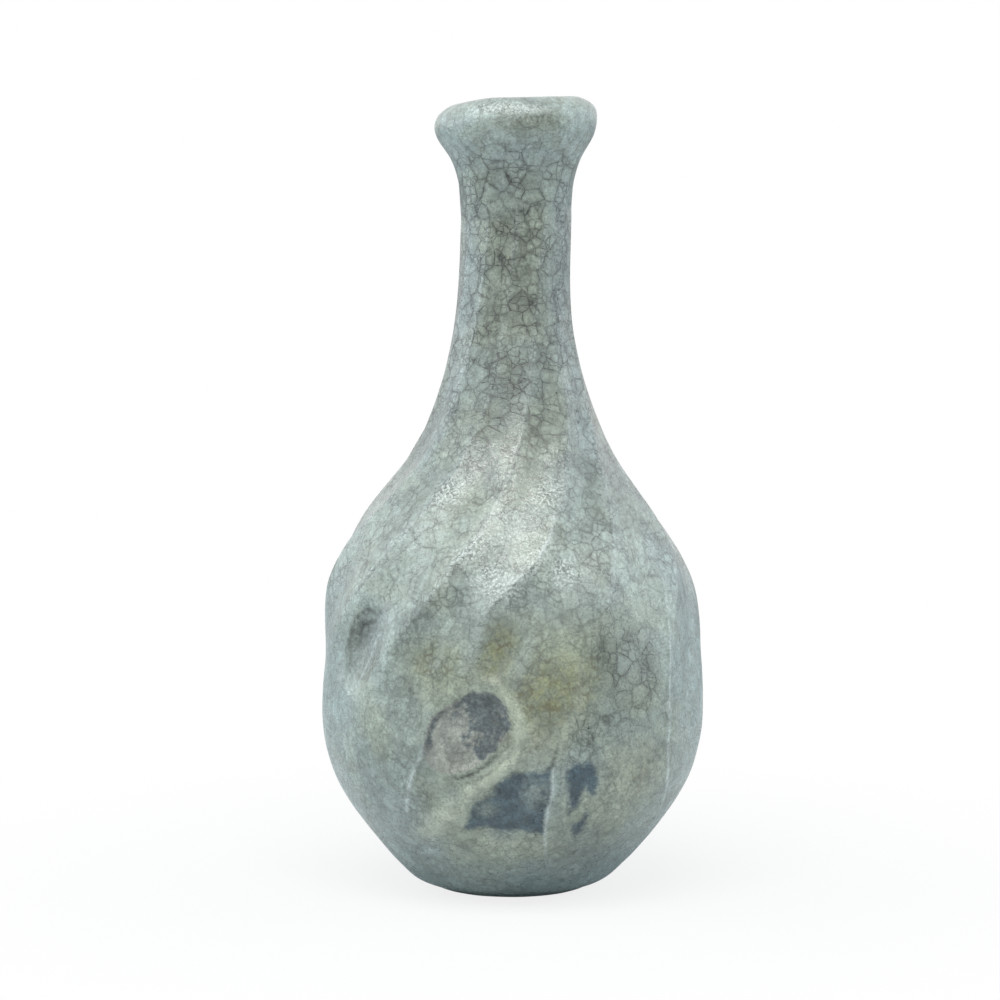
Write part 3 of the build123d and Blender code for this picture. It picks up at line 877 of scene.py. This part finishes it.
# Tones of the outer glaze
GREY_GREEN = colour(151, 161, 147)
BLUE_GREEN = colour(144, 156, 150)
PAINTED_COOL_REFLECTION = colour(147, 162, 164)
OLIVE = colour(128, 132, 100)
# Painted bluish reflection of the surroundings
SAND = colour(156, 160, 142)
# Pale thin glaze, partly a painted highlight where a rim faces the light
CREAM = colour(180, 188, 171)
# Pale of thin glaze on beads and lines, and of the painted highlights on two crests
PALE = colour(192, 203, 200)
# Pale tone, partly thin glaze and partly a painted highlight on the shoulders and the lip's top
FROST_AND_HIGHLIGHT = colour(168, 180, 174)
TAUPE = colour(142, 144, 139)
TAUPE_PALE = colour(162, 164, 156)
POOL = colour(76, 87, 91)
POOL_PALE = colour(108, 118, 118)
COBALT = colour(58, 82, 94)
COBALT_DEEP = colour(34, 60, 76)
SMOKE = colour(80, 86, 78)
RUST = colour(104, 98, 70)
# Painted glints of the key light's highlight
PAINTED_GLINT = colour(224, 232, 228)
CRACK = colour(38, 42, 40)
SPECK = colour(34, 32, 30)
# Painted shade near the foot, where the floor's shadow falls
PAINTED_FOOT_SHADE = colour(107, 127, 133)

# Paints that a mask lays over the ground tone, with the most that each covers
PAINTS = (
    # Painted bluish reflection
    ("painted_cool_reflection", PAINTED_COOL_REFLECTION, 0.85),
    ("olive", OLIVE, 1.0),
    ("sand", SAND, 0.9),
    # Partly a painted highlight
    ("frost_and_highlight", FROST_AND_HIGHLIGHT, 0.75),
    # Partly a painted highlight on the eye's rim
    ("cream", CREAM, 0.95),
)


def glaze_paint(n, grain, mottle):
    """The tones of the glaze before it is crackled, with painted reflection, highlights and shade laid over
    them.
    """
    ragged = n.math("MULTIPLY_ADD", n.noise(1.3, 4, 0.65).outputs[0], 0.7, -0.35)

    def ragged_share(mask, low, high, most):
        """A mask whose edge is broken up by a fine noise."""
        return n.ramp(n.math("ADD", n.attribute(mask), ragged), low, high, 0.0, most)

    tone = n.mix(n.cloud(15, 0.4, 0.62), GREY_GREEN, BLUE_GREEN)
    for mask, paint, most in PAINTS:
        tone = n.mix(n.times(n.attribute(mask), n.ramp(mottle, 0.0, 1.0, 0.6 * most, most)), tone, paint)
    tone = n.mix(ragged_share("taupe", 0.25, 0.75, 0.8), tone, n.mix(mottle, TAUPE, TAUPE_PALE))
    pool = n.attribute("pool")
    torn = n.math("MULTIPLY_ADD", n.noise(2.7, 4, 0.62).outputs[0], 2.6, -1.3)
    pooled = n.times(n.ramp(n.math("ADD", pool, torn), 0.3, 0.8), n.ramp(pool, 0.0, 0.3))
    tone = n.mix(n.times(pooled, 0.95), tone, n.mix(n.cloud(1.3, 0.4, 0.7), POOL, POOL_PALE))
    blue = n.mix(n.cloud(2.8, 0.35, 0.62), COBALT_DEEP, COBALT)
    haze = n.times(n.attribute("haze"), n.cloud(1.4, 0.3, 0.6, 0.2, 0.75))
    stain = n.times(ragged_share("cobalt", 0.28, 0.76, 0.9), n.math("SUBTRACT", 1.0, haze))
    tone = n.mix(stain, tone, blue)
    smoke = n.times(n.attribute("smoke"), n.cloud(1.1, 0.4, 0.6, 0.15, 1.0))
    smoke = n.most(smoke, n.times(n.cloud(6, 0.52, 0.72), n.ramp(grain, 0.42, 0.6), 0.5))
    tone = n.mix(n.times(smoke, 0.8), tone, SMOKE)
    # Pale on the beads and lines; on the two crests this is a painted highlight
    pale = n.times(n.attribute("pale"), n.cloud(0.9, 0.3, 0.55, 0.45, 1.0))
    tone = n.mix(n.times(n.most(pale, n.times(n.attribute("bead"), 0.3)), 0.9), tone, PALE)
    # Painted shade laid over the lowest part of the coat
    return n.mix(n.times(n.attribute("painted_foot_shade"), 0.6), tone, PAINTED_FOOT_SHADE)


WIDE_CELL = 3.4
FINE_CELL = 1.9
TINY_CELL = 1.2


def glaze_crackle(n):
    """Crack lines, the soft shade along them, pebbling, and a chance that is the same all over a cell."""
    warped = n.shifted(2.4, 0.4)
    chance = n.random(n.cells(WIDE_CELL, warped, randomness=0.75))
    split = n.math("GREATER_THAN", chance[0], 0.45)
    wide = n.border(WIDE_CELL, warped, 0.75)
    fine = n.border(FINE_CELL, warped, 0.7)
    tiny = n.border(TINY_CELL, warped, 0.6)
    strung = n.ramp(n.attribute("bead"), 0.3, 0.6)
    lines = n.most(
        n.ramp(wide, 0.04, 0.14, 1.0, 0.0),
        n.times(n.ramp(fine, 0.03, 0.12, 1.0, 0.0), split, 0.85),
    )
    soft = n.most(
        n.ramp(wide, 0.1, 0.8, 1.0, 0.0),
        n.times(n.ramp(fine, 0.08, 0.5, 1.0, 0.0), split, 0.8),
        n.times(n.ramp(tiny, 0.05, 0.35, 1.0, 0.0), strung, 0.7),
    )
    plain = n.ramp(n.attribute("cream"), 0.2, 0.7, 1.0, 0.2)
    pebble = n.ramp(n.border(FINE_CELL, n.shifted(1.6, 0.6), 0.95), 0.05, 0.55, 1.0, 0.0)
    pebble = n.times(pebble, n.cloud(4, 0.35, 0.62, 0.1, 1.0), plain)
    crazed = n.times(n.attribute("craze"), n.cloud(4.5, 0.32, 0.62, 0.3, 1.0))
    dashed = n.cloud(0.7, 0.35, 0.6, 0.45, 1.0)
    strings = n.times(n.ramp(tiny, 0.02, 0.12, 1.0, 0.0), strung, n.cloud(6, 0.4, 0.6, 0.05, 0.65))
    lines = n.most(n.times(lines, crazed, dashed, plain), strings)
    return lines, n.times(soft, crazed), pebble, chance[1]


def glaze_material():
    """Crackled grey-green glaze, pale where it is thin on ridges and rims and dark where it pools, with
    painted highlights, glints, reflection and shade in its colour.
    """
    n = Nodes("crackle_glaze")
    grain = n.noise(0.5, 3, 0.7).outputs[0]
    mottle = n.cloud(2.4, 0.34, 0.66, detail=4)
    tone = glaze_paint(n, grain, mottle)
    lines, soft, pebble, chance = glaze_crackle(n)
    tint = n.times(
        n.ramp(soft, 0.0, 1.0, 1.06, 0.76),
        n.ramp(chance, 0.0, 1.0, 0.9, 1.08),
        n.ramp(pebble, 0.0, 1.0, 1.05, 0.84),
        n.ramp(grain, 0.25, 0.75, 0.68, 1.26),
        n.ramp(mottle, 0.0, 1.0, 0.88, 1.08),
        # Darker where the dim patches lie; near the foot and in the side hollow this is painted shade
        n.ramp(n.attribute("dim"), 0.0, 1.0, 1.0, 0.76),
    )
    tone = n.mix(1.0, tone, tint, "MULTIPLY")
    rusty = n.times(n.ramp(pebble, 0.4, 1.0), n.attribute("olive"), n.cloud(1.5, 0.45, 0.6, 0.0, 0.7))
    tone = n.mix(rusty, tone, RUST)
    # Dark drawn lines; along the eye's lower edge and beside the front line they are painted shadow
    drawn = n.times(n.attribute("dark"), n.cloud(0.8, 0.3, 0.6, 0.4, 1.0))
    tone = n.mix(n.times(n.most(lines, drawn), 0.9), tone, CRACK)
    # Painted glints, near-white specks where the highlight falls
    tone = n.mix(n.times(n.attribute("painted_glints"), n.cloud(0.5, 0.5, 0.6, 0.0, 0.65)), tone, PAINTED_GLINT)
    tone = n.mix(n.dots(7.0, 0.3, 0.35), tone, SPECK)
    n.feed(n.shader.inputs["Base Color"], tone)

    n.feed(n.shader.inputs["Roughness"], n.cloud(1.2, 0.3, 0.7, 0.24, 0.46, detail=3))
    frost_and_highlight = n.attribute("frost_and_highlight")
    pitted = n.noise(0.42, 3, 0.7).outputs[0]
    relief = n.bump(lines, 0.35, 0.1, sunk=True)
    relief = n.bump(pitted, n.ramp(frost_and_highlight, 0.2, 1.0, 0.5, 1.0), 0.18, relief)
    n.feed(n.shader.inputs["Normal"], relief)
    n.feed(n.shader.inputs["Coat Normal"], n.bump(pitted, n.ramp(frost_and_highlight, 0.2, 1.0, 0.4, 1.0), 0.16))
    n.feed(n.shader.inputs["Coat Weight"], n.cloud(0.45, 0.4, 0.62, 0.05, 0.8, detail=3))
    n.shader.inputs["Coat Roughness"].default_value = 0.12
    n.shader.inputs["IOR"].default_value = 1.5
    return n.material


def liner_material():
    """Plain grey-green liner glaze with a few faint cracks."""
    n = Nodes("liner_glaze")
    warped = n.shifted(3.0, 0.45)
    tone = n.mix(n.ramp(n.noise(12, 3).outputs[0], 0.35, 0.65), colour(118, 130, 122), colour(132, 140, 126))
    lines = n.times(n.ramp(n.border(4.2, warped), 0.06, 0.25, 1.0, 0.0), n.cloud(8, 0.4, 0.6, 0.1, 0.7))
    tone = n.mix(lines, tone, CRACK)
    n.feed(n.shader.inputs["Base Color"], tone)
    n.feed(n.shader.inputs["Roughness"], n.ramp(n.noise(3, 2).outputs[0], 0.3, 0.7, 0.18, 0.32))
    n.feed(n.shader.inputs["Normal"], n.bump(n.noise(2.0, 2).outputs[0], 0.2, 0.15))
    return n.material


def clay_material(name, dark, light, grit):
    """Fired clay with trimming rings, grit and iron spots."""
    n = Nodes(name)
    tone = n.mix(n.ramp(n.noise(6, 4, 0.6).outputs[0], 0.35, 0.65), dark, light)
    sand = n.noise(0.6, 3, 0.7).outputs[0]
    tone = n.mix(n.ramp(sand, 0.35, 0.7, 0, 0.5), tone, grit)
    tone = n.mix(n.dots(3.2, 0.38, 0.4), tone, SPECK)
    n.feed(n.shader.inputs["Base Color"], tone)
    n.feed(n.shader.inputs["Roughness"], n.ramp(sand, 0.3, 0.7, 0.7, 0.92))
    split = n.add("ShaderNodeSeparateXYZ")
    n.feed(split.inputs[0], n.place)
    squares = [n.math("POWER", side, 2.0) for side in split.outputs[:2]]
    across = n.math("SQRT", n.math("ADD", *squares))
    rings = n.math("SINE", n.math("MULTIPLY", across, 2 * math.pi / (0.9 * MM)))
    relief = n.bump(rings, 0.25, 0.1)
    n.feed(n.shader.inputs["Normal"], n.bump(sand, 0.6, 0.25, relief))
    return n.material


def give(piece, material):
    piece.data.materials.clear()
    piece.data.materials.append(material)


FLOOR_HALF = 4.0


def build_stage():
    """Pale floor that meets a white background."""
    corners = [(x * FLOOR_HALF, y * FLOOR_HALF, 0.0) for x, y in ((-1, -1), (1, -1), (1, 1), (-1, 1))]
    mesh = bpy.data.meshes.new("floor")
    mesh.from_pydata(corners, [], [(0, 1, 2, 3)])
    floor = add_object("floor", mesh)
    n = Nodes("floor_white")
    n.shader.inputs["Base Color"].default_value = (0.82, 0.82, 0.82, 1)
    n.shader.inputs["Roughness"].default_value = 0.9
    n.shader.inputs["Specular IOR Level"].default_value = 0.1
    glow = n.add("ShaderNodeEmission")
    blend = n.add("ShaderNodeMixShader")
    path = n.add("ShaderNodeLightPath")
    away = n.add("ShaderNodeVectorMath", operation="LENGTH")
    n.feed(away.inputs[0], n.place)
    whiteness = n.ramp(away.outputs["Value"], 0.03, 0.16, 0.82, 1.0)
    seen = n.math("MULTIPLY", path.outputs["Is Camera Ray"], whiteness)
    n.feed(blend.inputs[0], seen)
    n.feed(blend.inputs[1], n.shader.outputs[0])
    n.feed(blend.inputs[2], glow.outputs[0])
    n.feed(n.tree.nodes["Material Output"].inputs["Surface"], blend.outputs[0])
    give(floor, n.material)


def build_world():
    """Even bluish-white surroundings, white where they are seen directly or mirrored."""
    world = bpy.data.worlds.new("studio")
    bpy.context.scene.world = world
    world.use_nodes = True
    tree = world.node_tree
    plain = tree.nodes["Background"]
    plain.inputs[0].default_value = (0.87, 0.945, 1.0, 1)
    plain.inputs[1].default_value = 0.42
    white = tree.nodes.new("ShaderNodeBackground")
    white.inputs[0].default_value = (1, 1, 1, 1)
    white.inputs[1].default_value = 1.0
    blend = tree.nodes.new("ShaderNodeMixShader")
    path = tree.nodes.new("ShaderNodeLightPath")
    seen = tree.nodes.new("ShaderNodeMath")
    seen.operation = "MAXIMUM"
    tree.links.new(path.outputs["Is Camera Ray"], seen.inputs[0])
    tree.links.new(path.outputs["Is Glossy Ray"], seen.inputs[1])
    tree.links.new(seen.outputs[0], blend.inputs[0])
    tree.links.new(plain.outputs[0], blend.inputs[1])
    tree.links.new(white.outputs[0], blend.inputs[2])
    tree.links.new(blend.outputs[0], tree.nodes["World Output"].inputs[0])


def aim(thing, place, target):
    thing.location = place
    thing.rotation_euler = (Vector(target) - Vector(place)).to_track_quat("-Z", "Y").to_euler()


def build_light(name, place, target, size, power, tint=(1, 1, 1), gloss_only=False):
    lamp = bpy.data.lights.new(name, "AREA")
    lamp.shape = "RECTANGLE"
    lamp.size, lamp.size_y = size
    lamp.energy = power
    lamp.color = tint
    light = add_object(name, lamp)
    light.visible_diffuse = not gloss_only
    aim(light, place, target)


# The camera stands 700 mm in front of the vase, a little lower than its lip, and looks slightly down
CAMERA_PLACE = (0.0, -0.7, 0.15)
CAMERA_DROP = 0.0725
FOCAL_PIXELS = 3586.2
SENSOR = 36.0
PICTURE_SIDE = 1000
AXIS_PIXEL = (512.0, 495.4)


def build_camera():
    lens = bpy.data.cameras.new("camera")
    lens.sensor_width = SENSOR
    lens.lens = FOCAL_PIXELS / PICTURE_SIDE * SENSOR
    lens.shift_x = (PICTURE_SIDE / 2 - AXIS_PIXEL[0]) / PICTURE_SIDE
    lens.shift_y = (AXIS_PIXEL[1] - PICTURE_SIDE / 2) / PICTURE_SIDE
    lens.clip_start = 0.01
    camera = add_object("camera", lens)
    aim(camera, CAMERA_PLACE, (0, 0, CAMERA_PLACE[2] - CAMERA_DROP))
    bpy.context.scene.camera = camera


lip_piece = build_lip()
give(build_coat(lip_piece), glaze_material())
give(build_liner(), liner_material())
body_clay = clay_material("clay", colour(150, 138, 122), colour(168, 157, 141), colour(122, 110, 96))
bare_clay = clay_material("bare_clay", colour(120, 92, 72), colour(146, 116, 92), colour(96, 74, 58))
for node in CLAY_NODES:
    give(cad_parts[node], body_clay)
give(lip_piece, body_clay)
give(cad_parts["foot_ring"], bare_clay)
build_stage()
build_world()
build_light("key", (-0.05, -0.32, 0.6), (0, 0, 0.08), (0.5, 0.3), 2.7, (1.0, 0.99, 0.96))
build_light("strip", (-0.08, -0.3, 0.62), (0, 0, 0.1), (1.5, 0.2), 2.8, gloss_only=True)
build_light("left", (-0.55, 0.08, 0.2), (0, 0, 0.07), (0.5, 0.6), 1.8, (0.8, 0.94, 1.0))
build_light("right", (0.55, 0.08, 0.2), (0, 0, 0.07), (0.5, 0.6), 1.5, (0.8, 0.94, 1.0))
build_camera()
bpy.context.scene.view_settings.view_transform = "Standard"
